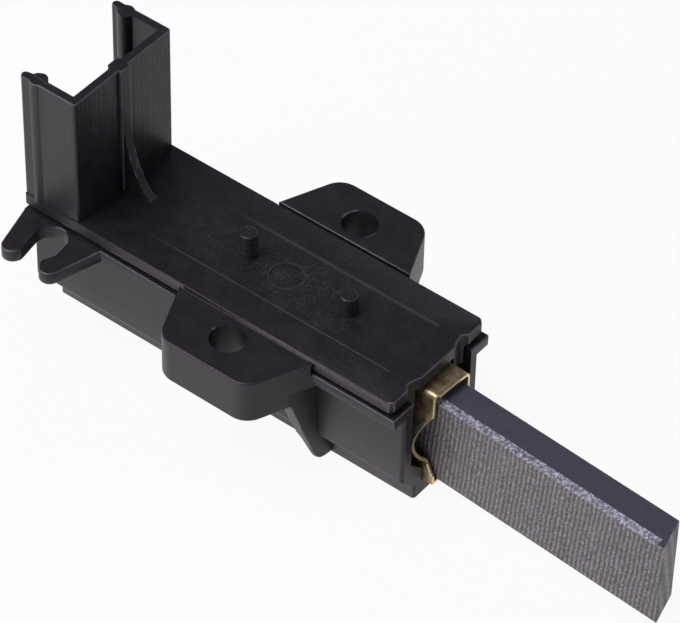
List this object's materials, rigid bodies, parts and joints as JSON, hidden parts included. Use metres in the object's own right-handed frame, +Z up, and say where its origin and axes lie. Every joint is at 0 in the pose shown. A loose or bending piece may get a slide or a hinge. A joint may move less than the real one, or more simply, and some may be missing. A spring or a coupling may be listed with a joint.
{
  "type": "carbon brush with holder",
  "caption": "Spring-loaded carbon brush in a brass sleeve inside a black moulded holder with screw ears, shrouded tab and wire hook.",
  "frame": {"origin": "in the plane of the holder's underside, midway between the two screw holes", "axes": "+X along the holder towards the brush tip, +Y across it, +Z up from the underside to the cover"},
  "size_m": [0.0879, 0.0336, 0.0368],
  "materials": {
    "holder_plastic": "moulded black glass-filled polyamide, satin",
    "cover_plastic": "moulded black glass-filled polyamide, satin",
    "sheet_brass": "folded sheet, aged, semi-bright",
    "carbon": "sawn carbon graphite, fine marks across the faces",
    "spring_steel": "drawn wire",
    "copper_braid": "bare copper strands",
    "tab_brass": "stamped strip, semi-bright"
  },
  "bodies": {
    "holder": {"holder_body": "holder_plastic", "cover": "cover_plastic", "brush_guide": "sheet_brass", "terminal_tab": "tab_brass", "brush_spring": "spring_steel", "shunt_braid": "copper_braid"},
    "brush": {"carbon_brush": "carbon"}
  },
  "joints": [
    {"name": "brush_slide", "type": "slide", "parent": "holder", "child": "brush", "axis": [0.9982, -0.0593, 0], "range_m": [-0.026, 0], "stiffness_N_per_m": 150, "springref_m": 0.012, "deforming": ["brush_spring", "shunt_braid"]}
  ]
}
